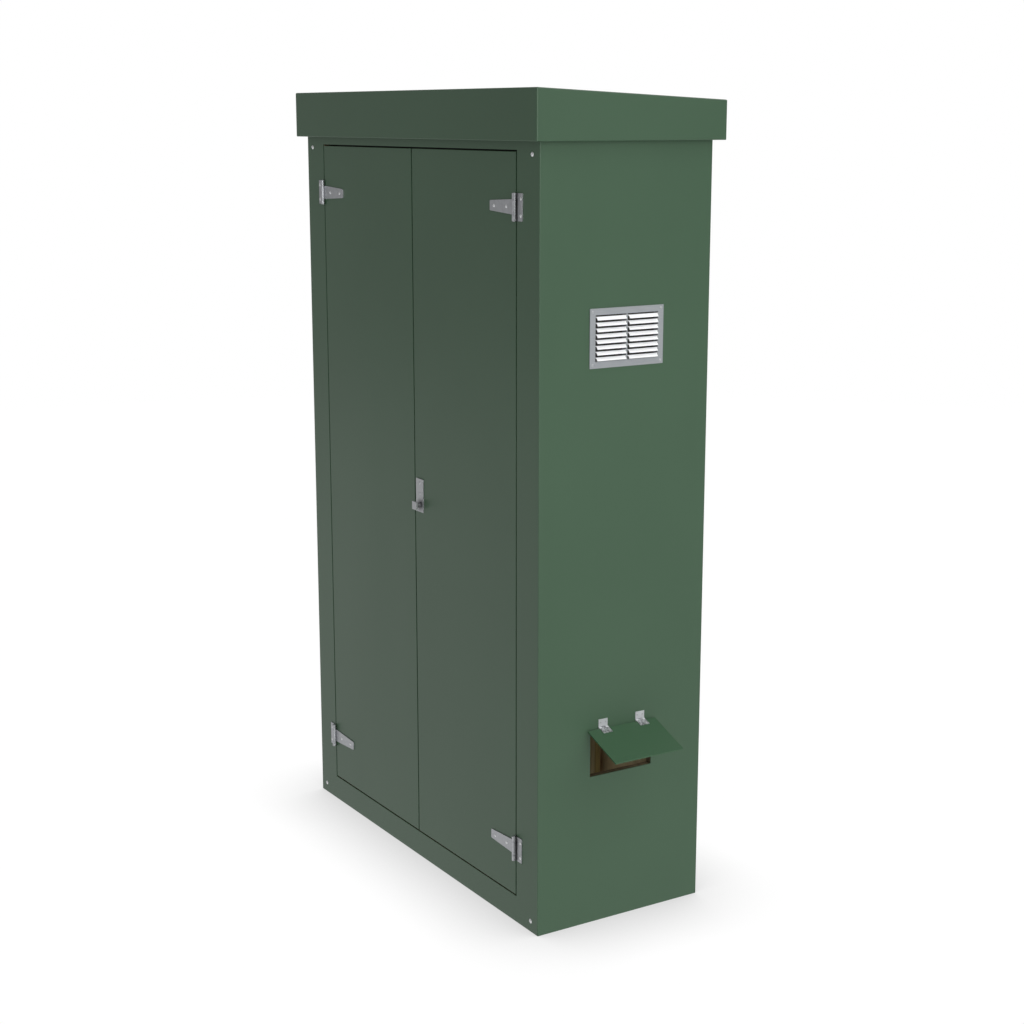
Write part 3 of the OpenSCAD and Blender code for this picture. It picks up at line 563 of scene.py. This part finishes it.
def plate(node, material, holes=(), radius=0.0, outer=0, rim=1.0, hole_rim=1.0):
    """A flat panel that fills a node's box, with rectangular holes through it.

    The two wide axes are cut at every hole's edge. Each cell outside the holes gives a face on both
    sides, and each cell edge with no neighbour gives a wall face. A top edge follows the roof's slope
    where the node reaches the roof. Only the edges of the outer side (+1 or -1) are rounded, those
    round the outline by rim times the radius and those round the holes by hole_rim times it.
    """
    low, high = corners(node)
    if low[Z] < SKIN_LIFT:
        low[Z] = 0.0
    thick = int(np.argmin(high - low))
    a, b = (thick + 1) % 3, (thick + 2) % 3
    cuts = [np.unique([low[k], high[k]] + [h[side][k] for h in holes for side in (0, 1)]) for k in (a, b)]
    middle = [(c[1:] + c[:-1]) / 2 for c in cuts]
    kept = np.ones((len(middle[0]), len(middle[1])), bool)
    for h in holes:
        inside = [(m > h[0][k]) & (m < h[1][k]) for m, k in zip(middle, (a, b))]
        kept &= ~np.outer(*inside)
    grid = np.empty((len(cuts[0]), len(cuts[1]), 2, 3))
    grid[..., a] = cuts[0][:, None, None]
    grid[..., b] = cuts[1][None, :, None]
    grid[..., thick] = [low[thick], high[thick]]
    number = np.arange(grid[..., 0].size).reshape(grid.shape[:3])
    quads = slab_faces(kept, number)
    used, quads = np.unique(quads, return_inverse=True)
    points = grid.reshape(-1, 3)[used]
    if high[Z] > OPENING_HIGH[Z] + ROOF_REACH:
        top = points[:, Z] > high[Z] - TINY
        points[top, Z] = roof_underside(points[top, Y])
    piece = new_piece(node + "_panel", points, quads.reshape(-1, 4).tolist(), material,
                      node_slot(node), [node], body_of(node))
    piece.data.set_sharp_from_angle(angle=SHARP)
    if radius and outer:
        outer_at = high[thick] if outer > 0 else low[thick]
        weigh_outer_edges(piece.data, (thick, outer_at), (low, high), rim, hole_rim)
        ease(piece, radius, 3, "WEIGHT")
    elif radius:
        ease(piece, radius)
    return piece


def weigh_outer_edges(mesh, outer, outline, rim, hole_rim):
    """Gives a bevel weight to the boundary edges that lie in a panel's outer face.

    A boundary edge has one flat face beside it: its other neighbour is a wall face.
    """
    thick, outer_at = outer
    points = np.empty(len(mesh.vertices) * 3)
    mesh.vertices.foreach_get("co", points)
    ends = np.empty(len(mesh.edges) * 2, int)
    mesh.edges.foreach_get("vertices", ends)
    pairs = points.reshape(-1, 3)[ends.reshape(-1, 2)]
    on_face = (abs(pairs[:, :, thick] - outer_at) < TINY).all(1)
    folds = np.zeros(len(mesh.edges), int)
    edge_of_loop = np.empty(len(mesh.loops), int)
    mesh.loops.foreach_get("edge_index", edge_of_loop)
    faces_out = [abs(p.normal[thick]) > 0.5 for p in mesh.polygons]
    flat = np.repeat(faces_out, [p.loop_total for p in mesh.polygons])
    np.add.at(folds, edge_of_loop[flat], 1)
    boundary = on_face & (folds == 1)
    on_outline = np.zeros(len(pairs), bool)
    for axis in {X, Y, Z} - {thick}:
        for edge in outline:
            on_outline |= (abs(pairs[:, :, axis] - edge[axis]) < TINY).all(1)
    weight = np.where(boundary, np.where(on_outline, rim, hole_rim), 0.0)
    layer = mesh.attributes.new("bevel_weight_edge", "FLOAT", "EDGE")
    layer.data.foreach_set("value", weight.astype(np.float32))


def walls_and_skins():
    """The outer skins and the plywood behind them; a hole's box reaches right through its wall."""
    door_hole = (OPENING_LOW - [0, 1, 0], OPENING_HIGH + [0, 1, 0])
    vent_in = np.array([0, VENT_HOLE_IN, VENT_HOLE_IN])
    vent_hole = (VENT_LOW + vent_in - [1, 0, 0], VENT_HIGH - vent_in + [1, 0, 0])
    hatch_top = FLAP_PIN[Z] - HATCH_DROP
    hatch = (np.array([0, -HATCH_SIZE[0] / 2, hatch_top - HATCH_SIZE[1]]),
             np.array([1, HATCH_SIZE[0] / 2, hatch_top]))
    plate("front_frame_skin", GREEN, [door_hole], 2.2 * MM, -1, 1.0, 0.45)
    plate("back_skin", GREEN, [], 2.2 * MM, 1)
    plate("left_side_skin", GREEN)
    plate("right_side_skin", GREEN, [vent_hole, hatch], 0.8 * MM, 1, 0.0, 1.0)
    boards = (("front_frame_board", Y, GAP_SHADE_PLY, [door_hole]),
              ("back_wall_board", Y, PALE_PLY, []),
              ("left_side_board", X, PALE_PLY, []),
              ("right_side_board", X, GAP_SHADE_PLY, [vent_hole, hatch]))
    for node, axis, tones, holes in boards:
        wood = plywood(node + "_ply", axis, corners(node)[0][axis], *tones)
        plate(node, wood, holes)


def doors():
    """Door skins with softly rounded edges, and their plywood cores."""
    bush_low, bush_high = corners("spindle_bush")
    bush_in = 4 * MM        # the bush's flange covers the hole by this much
    bush_hole = (bush_low + [bush_in, -1, bush_in], bush_high + [-bush_in, 1, -bush_in])
    for side, holes in (("left", []), ("right", [bush_hole])):
        board = side + "_door_board"
        plate(side + "_door_skin", GREEN, holes, 1.2 * MM, -1)
        plate(board, plywood(board + "_ply", Y, corners(board)[0][Y], *GAP_SHADE_PLY), holes, 0.5 * MM)


def inner_boards():
    """The board that carries the equipment, its battens, and the base frame."""
    low, high = corners("equipment_board")
    wood = plywood("equipment_board_ply", Y, low[Y], *OLIVE_PLY, lit_edge_from=high[X])
    eased_node("equipment_board", wood, 0.8 * MM)
    eased_node("board_battens", TIMBER[Z], 1.5 * MM)
    eased_node("base_frame", ZINC, 0.6 * MM)


def timber_frame():
    """Planed posts, head, sill and rails with eased arrises, and the roof board."""
    for node in ("left_front_post", "right_front_post", "left_rear_post", "right_rear_post"):
        eased_node(node, TIMBER[Z], 1.5 * MM)
    for node in ("door_head", "door_sill", "rear_top_rail"):
        eased_node(node, TIMBER[X], 1.5 * MM)
    eased_node("side_top_rails", TIMBER[Y], 1.5 * MM)
    start = roof_underside(0.0)
    frame["nodes"]["roof_board"].material_slots[0].material = plywood("roof_ply", Z, start, *PALE_PLY, X)


def rounded_rectangle(half_x, half_y, radius, steps):
    """Points round a rectangle with quarter-circle corners, anticlockwise from +X -Y."""
    turn = np.linspace(0, math.pi / 2, steps)
    centre = np.array([[half_x, -half_y], [half_x, half_y], [-half_x, half_y], [-half_x, -half_y]])
    centre -= np.sign(centre) * radius
    angle = turn[None, :] + np.arange(4)[:, None] * math.pi / 2 - math.pi / 2
    ring = centre[:, None, :] + radius * np.stack([np.cos(angle), np.sin(angle)], 2)
    return ring.reshape(-1, 2)


def cap_profile(height, inner):
    """The cap's section: from its top's middle over the rim, down the skirt and back up inside.

    A point is (inset, height, share): how far it lies in from the outline, its height over the
    lower edge, and how much of the top's slope it takes: 0 at the lower edge, 1 on the top and
    inner under it. Both bends are quarter circles.
    """
    wall, flange, rim = 4 * MM, 60 * MM, 12 * MM
    lip = CAP_HIGH[X] - HALF_W - 0.5 * MM
    top_round, foot_round = 3.5 * MM, 2.0 * MM
    bend = np.linspace(0, math.pi / 2, 6)
    early, late = 1 - np.sin(bend), 1 - np.cos(bend)
    top_bend = np.stack([top_round * early, height - top_round * late, np.ones(6)], 1)
    foot_bend = np.stack([foot_round * late, foot_round * early, np.zeros(6)], 1)
    return np.concatenate([
        [[flange, height, 1], [rim, height, 1]],
        top_bend,
        foot_bend,
        [[lip, 0, 0], [lip, wall, 0], [wall, wall, 0]],
        [[wall, height - wall, inner], [flange, height - wall, inner]],
    ])


def roof_cap():
    """The cap moulding: its section carried round a rounded rectangle, with both ends closed.

    The outline's corners keep their radius less the inset, and the top falls straight to the back.
    """
    corner, least_corner = 3 * MM, 0.5 * MM
    skirt_drop = 3 * MM     # how far the skirt hangs under the CAD cap's lower edge
    back_sink = 2 * MM      # how far the top's back edge lies under the CAD cap's
    depth = CAP_HIGH[Y] - CAP_LOW[Y]
    board_slope = (WALL_HIGH[Z] - BACK_HIGH[Z]) / (BACK_LOW[Y] - FRONT)
    slope = board_slope + back_sink / depth
    half_x, half_y = CAP_HIGH[X], depth / 2
    rings = []
    for inset, up, share in cap_profile(CAP_HIGH[Z] - CAP_LOW[Z], board_slope / slope):
        radius = max(corner - inset, least_corner)
        ring = rounded_rectangle(half_x - inset, half_y - inset, radius, 8)
        z = CAP_LOW[Z] + up - share * slope * (ring[:, 1] + half_y) - (1 - share) * skirt_drop
        rings.append(np.column_stack([ring, z]))
    points = np.array(rings)
    count, around = points.shape[:2]
    number = np.arange(count * around).reshape(count, around)
    nxt = np.roll(number, -1, 1)
    quads = np.stack([number[:-1], number[1:], nxt[1:], nxt[:-1]], -1).reshape(-1, 4).tolist()
    ends = [number[0].tolist(), number[-1][::-1].tolist()]
    piece = new_piece("roof_cap_moulding", points.reshape(-1, 3), quads + ends, GREEN,
                      node_slot("roof_cap"), ["roof_cap"])
    piece.data.set_sharp_from_angle(angle=CAP_FOLD)
    return keep_flats(piece)


def door_seal():
    """A D-shaped rubber bead carried round the opening, its round side to the front.

    The inset grows as 1 - cos and the depth as sin over half a turn, on a low straight heel.
    """
    low, high = OPENING_LOW, OPENING_HIGH
    width, depth = 11 * MM, high[Y] - low[Y]
    gap, heel = 0.5 * MM, 0.6 * MM
    angle = np.linspace(0, math.pi, 9)
    inset = np.concatenate([[gap], width / 2 * (1 - np.cos(angle)) + gap, [width + gap]])
    y = np.concatenate([[high[Y]], high[Y] - heel - (depth - heel) * np.sin(angle), [high[Y]]])
    corner = np.array([[low[X], low[Z], 1, 1], [low[X], high[Z], 1, -1],
                       [high[X], high[Z], -1, -1], [high[X], low[Z], -1, 1]])
    x = corner[None, :, 0] + inset[:, None] * corner[None, :, 2]
    z = corner[None, :, 1] + inset[:, None] * corner[None, :, 3]
    points = np.stack([x, np.broadcast_to(y[:, None], x.shape), z], -1)
    number = np.arange(points[..., 0].size).reshape(points.shape[:2])
    down, right = np.roll(number, -1, 0), np.roll(number, -1, 1)
    quads = np.stack([number, down, np.roll(down, -1, 1), right], -1).reshape(-1, 4).tolist()
    piece = new_piece("door_seal_bead", points.reshape(-1, 3), quads, RUBBER,
                      node_slot("door_seal"), ["door_seal"])
    piece.data.set_sharp_from_angle(angle=SEAL_FOLD)
    return piece


def vent_blades():
    """Formed louvre blades: a grid from front edge (u = 0) to back (u = 1), across the blade (v).

    Height rises with u along a gentle S, the front edge curls down, and the blade's half width
    grows near the back, where full-width tabs meet the collar and the mullion.
    """
    low, high = corners("vent_blades")
    columns, rows = 2, 8
    thickness, end_gap, mullion = 1.2 * MM, 2.6 * MM, 4 * MM
    curl_depth, bow, slack = 0.9 * MM, 0.5 * MM, 1.5 * MM
    curl_end, tab_start, tab_rise = 0.12, 0.72, 0.1     # along u
    half = (high[Y] - low[Y] - mullion) / (2 * columns)
    opening = (VENT_HIGH[Z] - VENT_LOW[Z]) - 2 * VENT_BORDER
    pitch = opening / rows
    u = np.concatenate([np.linspace(0, curl_end, 5), np.linspace(0.2, 0.68, 7),
                        np.linspace(tab_start, 1.0, 8)])
    v = np.linspace(-1, 1, 9)
    run = high[X] - low[X]
    drop = high[Z] - low[Z] - (rows - 1) * pitch - slack
    x = high[X] - run * u
    curl = curl_depth * np.clip(1 - u / curl_end, 0, 1) ** 2
    rise = -drop / 2 + drop * u + bow * np.sin(2 * math.pi * u) - curl
    widen = np.clip((u - tab_start) / tab_rise, 0, 1)
    half_at = half - end_gap * (1 - widen * widen * (3 - 2 * widen))
    sheet = np.empty((len(u), len(v), 3))
    sheet[..., X] = x[:, None]
    sheet[..., Y] = half_at[:, None] * v[None, :]
    sheet[..., Z] = rise[:, None]
    middle_y = (low[Y] + high[Y]) / 2
    middle_z = (VENT_LOW[Z] + VENT_HIGH[Z]) / 2
    places = np.array([[0, middle_y + s * (half + mullion / 2), middle_z + (k - (rows - 1) / 2) * pitch]
                       for s in (-1, 1) for k in range(rows)])
    points = sheet[None] + places[:, None, None, :]
    number = np.arange(points[..., 0].size).reshape(points.shape[:3])
    quads = np.stack([number[:, :-1, :-1], number[:, :-1, 1:], number[:, 1:, 1:], number[:, 1:, :-1]], -1)
    piece = new_piece("vent_blades_formed", points.reshape(-1, 3), quads.reshape(-1, 4).tolist(), WHITE,
                      node_slot("vent_blades"), ["vent_blades"])
    solid = piece.modifiers.new("sheet", "SOLIDIFY")
    solid.thickness = thickness
    solid.offset = 0
    return ease(piece, 0.35 * MM)


def insect_mesh():
    """Woven wire: each wire is a thin tube whose middle line steps over and under the others.

    The step is a cosine of one radius, half a turn for each crossing, and the two sets of wires
    run in opposite phase.
    """
    low, high = corners("insect_mesh")
    pitch, radius, sides = 1.65 * MM, 0.42 * MM, 4
    middle = (low + high) / 2
    counts = {Y: int((high[Y] - low[Y]) / pitch), Z: int((high[Z] - low[Z]) / pitch)}
    points, faces, start = [], [], 0
    for along, across in ((Y, Z), (Z, Y)):
        wires, steps = counts[across], counts[along]
        t = np.linspace(low[along], high[along], steps + 1)
        offset = (np.arange(wires) - (wires - 1) / 2) * pitch + middle[across]
        phase = (t - middle[along]) / pitch * math.pi
        phases = phase[None, :] + np.arange(wires)[:, None] * math.pi
        swing = radius * np.cos(phases) * (1 if along == Y else -1)
        angle = np.arange(sides) / sides * 2 * math.pi
        grid = np.empty((wires, len(t), sides, 3))
        grid[..., along] = t[None, :, None]
        grid[..., across] = offset[:, None, None] + radius * np.cos(angle)[None, None, :]
        grid[..., X] = middle[X] + swing[..., None] + radius * np.sin(angle)[None, None, :]
        number = np.arange(grid[..., 0].size).reshape(grid.shape[:3]) + start
        nxt = np.roll(number, -1, 2)
        order = [number[:, :-1], number[:, 1:], nxt[:, 1:], nxt[:, :-1]]
        faces += np.stack(order if along == Z else order[::-1], -1).reshape(-1, 4).tolist()
        for cap in (number[:, 0], number[:, -1, ::-1]):
            faces += (cap if along == Z else cap[:, ::-1]).tolist()
        points.append(grid.reshape(-1, 3))
        start += grid[..., 0].size
    return new_piece("insect_mesh_woven", np.concatenate(points), faces, WIRE,
                     node_slot("insect_mesh"), ["insect_mesh"])


def reshape(piece, change):
    """Moves a piece's points to where a function of their array says."""
    points = np.empty(len(piece.data.vertices) * 3)
    piece.data.vertices.foreach_get("co", points)
    piece.data.vertices.foreach_set("co", change(points.reshape(-1, 3)).ravel())


def trimmed_flap(points):
    """The cable flap, a little shorter out from its pin, a little narrower and nearer the front."""
    trim = [0.975, 0.984, 0.975]
    forward = [0, 3 * MM, 0]
    return (points - FLAP_PIN) * trim + FLAP_PIN - forward


def narrowed_lock(points):
    """The lock plate, with its right edge moved in and the spindle's hole left in place."""
    edge, inward = 4 * MM, 3.6 * MM
    right = points[:, X] > points[:, X].max() - edge
    return points - np.outer(right, [inward, 0, 0])


def narrowed_jambs(points):
    """The jamb plates, with their outer edges moved in."""
    edge, inward = 2 * MM, 4 * MM
    outer = abs(points[:, X]) > abs(points[:, X]).max() - edge
    move = np.where(outer, inward, 0) * np.sign(points[:, X])
    return np.column_stack([points[:, X] - move, points[:, Y:]])


def fittings():
    """Hinges, lock, bolts, flap and screws: eased copies of the CAD pieces."""
    zinc_parts = {"hinge_pins": 0.4, "bolt_keeps": 0.4, "bolt_guides": 0.5, "latch_keep": 0.5,
                  "latch_cam": 0.4, "cam_nut": 0.4, "top_bolt": 0.8, "bottom_bolt": 0.8,
                  "board_screws": 0.2}
    steel_parts = {"flap_hinge_pins": 0.2, "flap_screws": 0.15, "flap_wall_screws": 0.15,
                   "vent_screws": 0.2}
    screws = {"front_corner_screws": 0.25, "back_corner_screws": 0.25, "jamb_screws": 0.2,
              "left_strap_screws": 0.2, "right_strap_screws": 0.2, "guide_screws": 0.15}
    for parts, material in ((zinc_parts, ZINC), (steel_parts, STEEL), (screws, SCREW)):
        for node, radius in parts.items():
            eased_node(node, material, radius * MM)
    for node in ("left_door_straps", "right_door_straps"):
        eased_node(node, CREASE_SHADED_ZINC, 0.5 * MM)
    reshape(eased_node("hinge_jamb_plates", CREASE_SHADED_ZINC, 0.5 * MM), narrowed_jambs)
    reshape(eased_node("lock_plate", LOCK_STEEL, 0.6 * MM), narrowed_lock)
    reshape(eased_node("cable_flap", LOW_GLOSS_LIT_GREEN, 1.0 * MM, 3), trimmed_flap)
    eased_node("turn_knob", KNOB_STEEL, 0.9 * MM)
    eased_node("lock_screws", PALE_STEEL, 0.2 * MM)
    eased_node("flap_wall_leaves", PALE_STEEL, 0.3 * MM)
    eased_node("flap_leaves", SPOTTED_STEEL, 0.3 * MM)
    eased_node("vent_frame", ALUMINIUM, 0.6 * MM)
    eased_node("meeting_seal", RUBBER, 0.6 * MM)
    eased_node("spindle_bush", BRASS, 0.4 * MM)


# ---------------------------------------------------------------- stage


def stage_floor():
    """A flat pale disc under the cabinet: one face with its rim on a circle."""
    radius, steps = 9.0, 64
    angle = np.arange(steps) / steps * 2 * math.pi
    rim = np.stack([radius * np.cos(angle), radius * np.sin(angle), np.zeros(steps)], 1)
    mesh = bpy.data.meshes.new("studio_floor")
    mesh.from_pydata(rim.tolist(), [], [list(range(steps))])
    floor = bpy.data.objects.new("studio_floor", mesh)
    floor.data.materials.append(glowing_floor())
    bpy.context.scene.collection.objects.link(floor)


SURROUND = 0.37             # light from all round
# each lobe's direction, narrowness and strength
RIGHT_LIGHT = ((0.989, -0.106, 0.12), 20.0, 5.8)
TOP_LIGHT = ((0.326, 0.44, 0.837), 7.8, 1.9)


def soft_surround():
    """Studio light from all round: dim in general, brighter from the right and from above.

    The surround's brightness is a base plus a broad lobe round each of two directions: the cosine
    of the angle from it, raised to a power. The camera itself sees plain white.
    """
    world = bpy.data.worlds.new("studio")
    bpy.context.scene.world = world
    world.use_nodes = True
    world.node_tree.nodes.clear()
    graph = Graph(world.node_tree)
    ray = graph.add("ShaderNodeTexCoord", {}, {}, "Generated")

    def lobe(toward, power, gain):
        """Brightness that falls off round one direction."""
        unit = np.array(toward) / np.linalg.norm(toward)
        dot = graph.add("ShaderNodeVectorMath", {"operation": "DOT_PRODUCT"}, {0: ray, 1: tuple(unit)}, 1)
        return dot.math("MAXIMUM", 0.0).math("POWER", power) * gain

    strength = lobe(*RIGHT_LIGHT) + lobe(*TOP_LIGHT) + SURROUND
    light = graph.add("ShaderNodeBackground", {}, {"Color": (1, 1, 1, 1), "Strength": strength})
    plain = graph.add("ShaderNodeBackground", {}, {"Color": (1, 1, 1, 1), "Strength": 1.0})
    seen = graph.add("ShaderNodeLightPath", {}, {}, "Is Camera Ray")
    mixed = graph.add("ShaderNodeMixShader", {}, {0: seen, 1: light, 2: plain})
    graph.add("ShaderNodeOutputWorld", {}, {"Surface": mixed})


def camera():
    """The view from the cabinet's front right, a little under the height of its roof."""
    eye = (4.4114, -2.6956, 2.1348)
    turn, down, lens = 58.027, 12.292, 63.755
    data = bpy.data.cameras.new("view")
    data.lens = lens
    data.sensor_width = 36
    data.clip_end = 100
    view = bpy.data.objects.new("view", data)
    view.location = eye
    view.rotation_euler = (math.radians(90 - down), 0, math.radians(turn))
    bpy.context.scene.collection.objects.link(view)
    bpy.context.scene.camera = view


walls_and_skins()
doors()
inner_boards()
timber_frame()
roof_cap()
door_seal()
vent_blades()
insect_mesh()
fittings()
stage_floor()
soft_surround()
camera()

# colours are shown as they are mixed, with no film curve
bpy.context.scene.view_settings.view_transform = "Standard"
